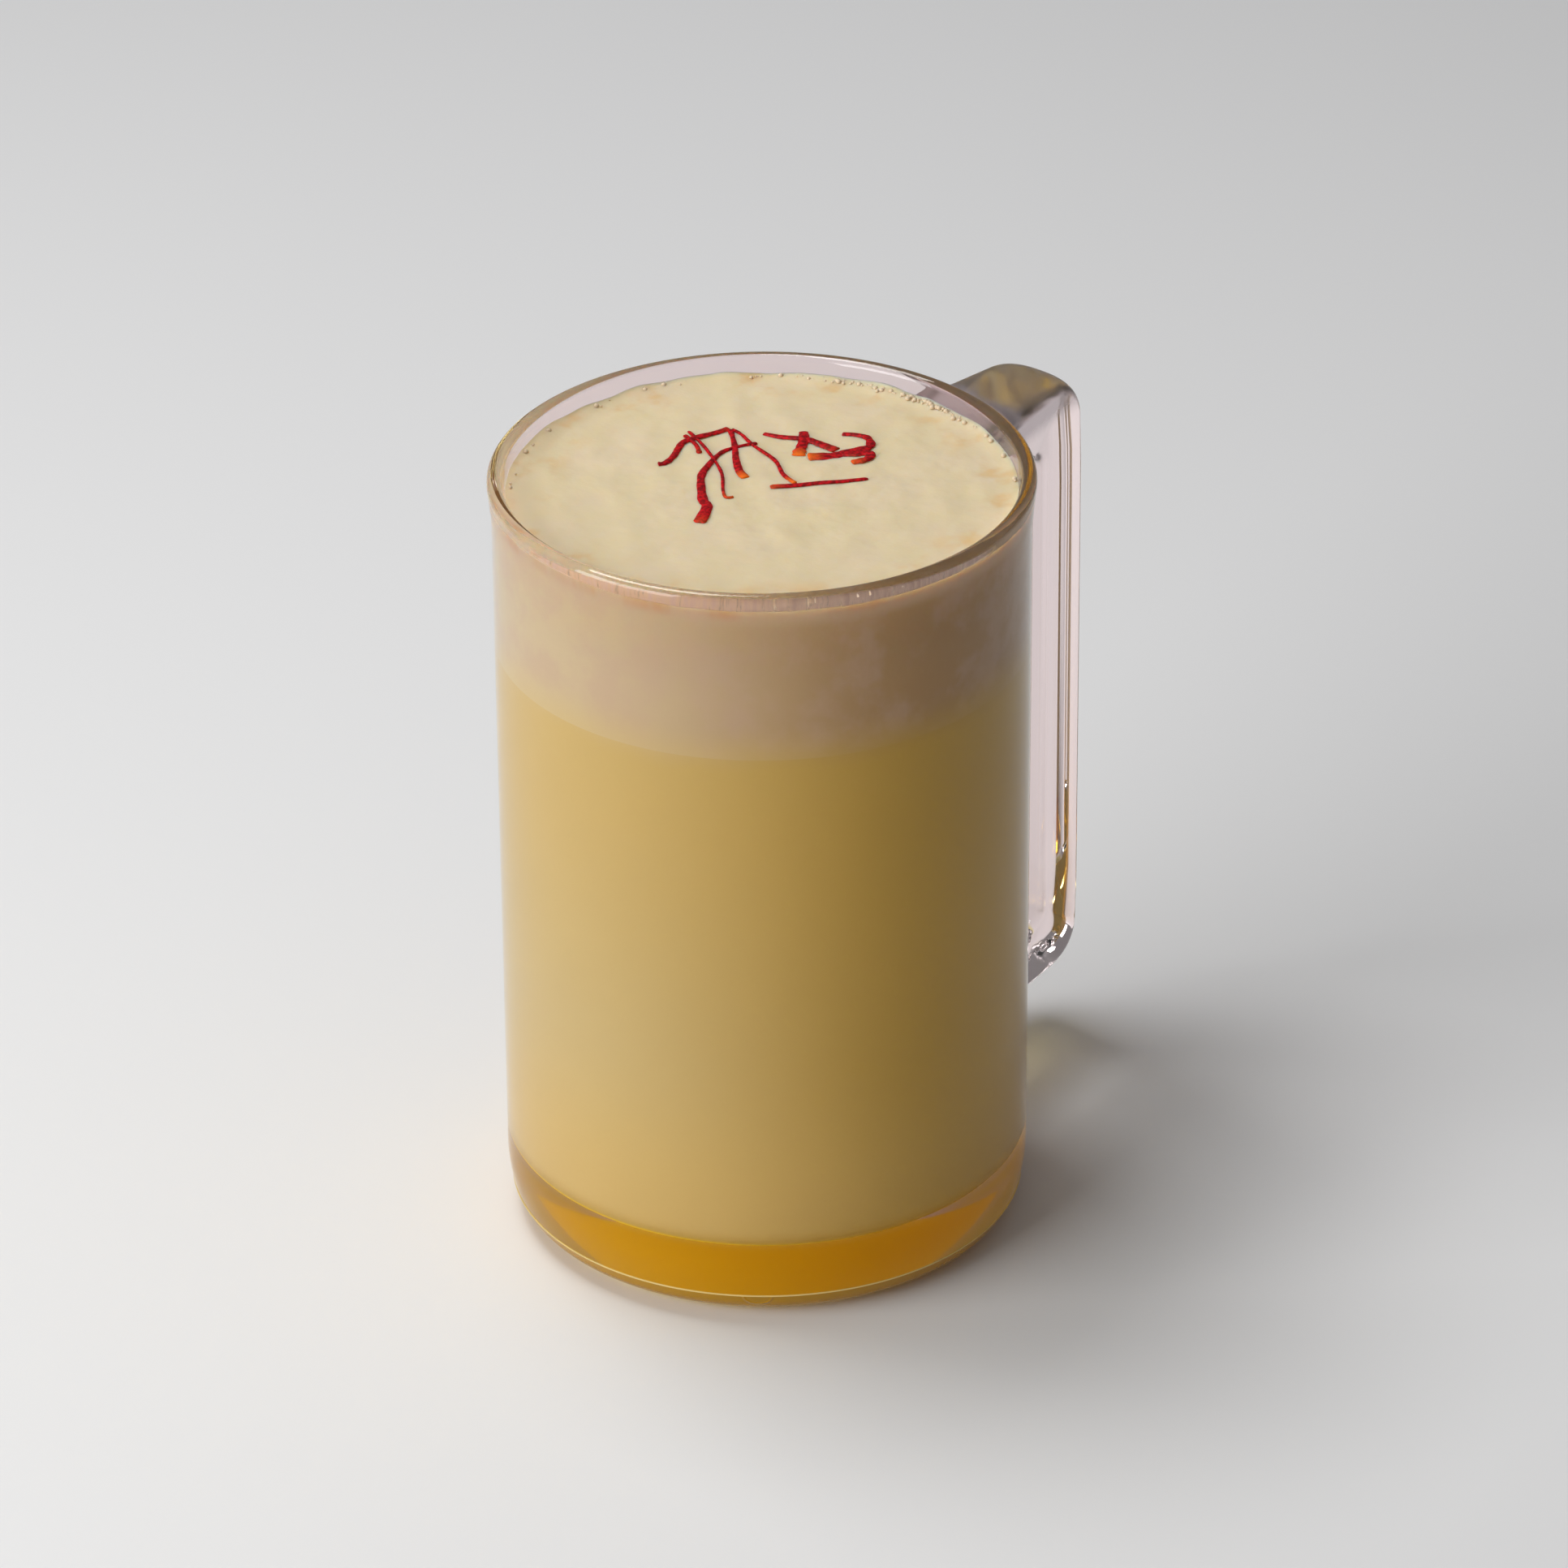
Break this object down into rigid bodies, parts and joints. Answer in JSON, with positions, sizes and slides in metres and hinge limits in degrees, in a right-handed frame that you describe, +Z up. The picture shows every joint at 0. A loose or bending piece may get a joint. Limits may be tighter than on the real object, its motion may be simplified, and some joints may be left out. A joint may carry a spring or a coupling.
{
  "type": "masala chai in a glass mug",
  "caption": "Tall clear glass mug with a straight handle, filled with milky spiced tea under a thick layer of foam, with saffron threads on top.",
  "frame": {"origin": "centre of the mug's flat bottom", "axes": "+Z up along the mug's axis, +X from the axis towards the handle, +Y to the left of someone who looks along +X"},
  "size_m": [0.0998, 0.073, 0.1108],
  "materials": {
    "clear_glass": "clear pressed glass, polished",
    "milk_tea": "opaque pale yellow milk tea, wet",
    "milk_foam": "fine cream foam, matt",
    "saffron": "dried dark red threads with orange ends"
  },
  "bodies": {
    "root": {"glass_mug": "clear_glass", "chai": "milk_tea", "foam": "milk_foam"}
  },
  "joints": []
}
